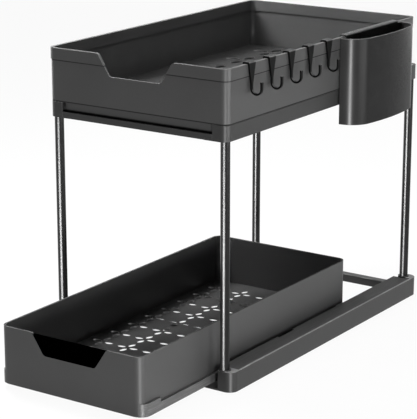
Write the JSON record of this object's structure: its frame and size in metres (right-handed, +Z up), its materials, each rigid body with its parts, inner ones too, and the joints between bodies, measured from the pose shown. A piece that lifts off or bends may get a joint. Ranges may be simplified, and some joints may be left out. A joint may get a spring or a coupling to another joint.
{
  "type": "pull out cabinet basket",
  "caption": "Tiered cabinet organiser: perforated baskets that slide in a base frame and an upper frame on round posts, with rim hooks and a hanging cup.",
  "frame": {"origin": "middle of the object's footprint box on the ground, with the lower basket pulled out as in the picture", "axes": "+Z up, +Y to the back, so the baskets pull out towards -Y, and +X to the right, where the hooks and the cup hang"},
  "size_m": [0.2592, 0.516, 0.3368],
  "materials": {
    "frame_plastic": "fine matt, dark grey",
    "basket_plastic": "fine matt, dark grey",
    "runner_plastic": "smooth matt, dark grey",
    "hook_plastic": "smooth satin, near black",
    "clip_plastic": "smooth, black",
    "pad_plastic": "smooth, black",
    "plug_plastic": "plain grey",
    "post_metal": "polished near-black coating",
    "screw_steel": "plain zinc",
    "foot_rubber": "matt black rubber"
  },
  "bodies": {
    "stand": {"base_rail_left": "frame_plastic", "base_rail_right": "frame_plastic", "base_bars": "frame_plastic", "foot_pads": "foot_rubber", "glide_pads": "pad_plastic", "lower_stop_clips": "clip_plastic", "post_front_left": "post_metal", "post_front_right": "post_metal", "post_back_left": "post_metal", "post_back_right": "post_metal", "lower_post_plugs": "plug_plastic", "upper_post_plugs": "plug_plastic", "base_screws": "screw_steel", "top_screws": "screw_steel", "upper_rail_left": "frame_plastic", "upper_rail_right": "frame_plastic", "upper_bars": "frame_plastic", "upper_stop_clips": "clip_plastic"},
    "lower_drawer": {"lower_basket": "basket_plastic", "lower_runner_left": "runner_plastic", "lower_runner_right": "runner_plastic"},
    "upper_drawer": {"upper_basket": "basket_plastic", "upper_runner_left": "runner_plastic", "upper_runner_right": "runner_plastic"},
    "hook_1_body": {"hook_1": "hook_plastic"},
    "hook_2_body": {"hook_2": "hook_plastic"},
    "hook_3_body": {"hook_3": "hook_plastic"},
    "hook_4_body": {"hook_4": "hook_plastic"},
    "hook_5_body": {"hook_5": "hook_plastic"},
    "cup_body": {"cup": "basket_plastic"}
  },
  "joints": [
    {"name": "lower_basket_slide", "type": "slide", "parent": "stand", "child": "lower_drawer", "axis": [0, -1, 0], "range_m": [-0.109, 0.102]},
    {"name": "upper_basket_slide", "type": "slide", "parent": "stand", "child": "upper_drawer", "axis": [0, -1, 0], "range_m": [0, 0.21]},
    {"name": "hook_1_lift", "type": "slide", "parent": "upper_drawer", "child": "hook_1_body", "axis": [0, 0, 1], "range_m": [0, 0.03]},
    {"name": "hook_2_lift", "type": "slide", "parent": "upper_drawer", "child": "hook_2_body", "axis": [0, 0, 1], "range_m": [0, 0.03]},
    {"name": "hook_3_lift", "type": "slide", "parent": "upper_drawer", "child": "hook_3_body", "axis": [0, 0, 1], "range_m": [0, 0.03]},
    {"name": "hook_4_lift", "type": "slide", "parent": "upper_drawer", "child": "hook_4_body", "axis": [0, 0, 1], "range_m": [0, 0.03]},
    {"name": "hook_5_lift", "type": "slide", "parent": "upper_drawer", "child": "hook_5_body", "axis": [0, 0, 1], "range_m": [0, 0.03]},
    {"name": "cup_lift", "type": "slide", "parent": "upper_drawer", "child": "cup_body", "axis": [0, 0, 1], "range_m": [0, 0.04]}
  ]
}
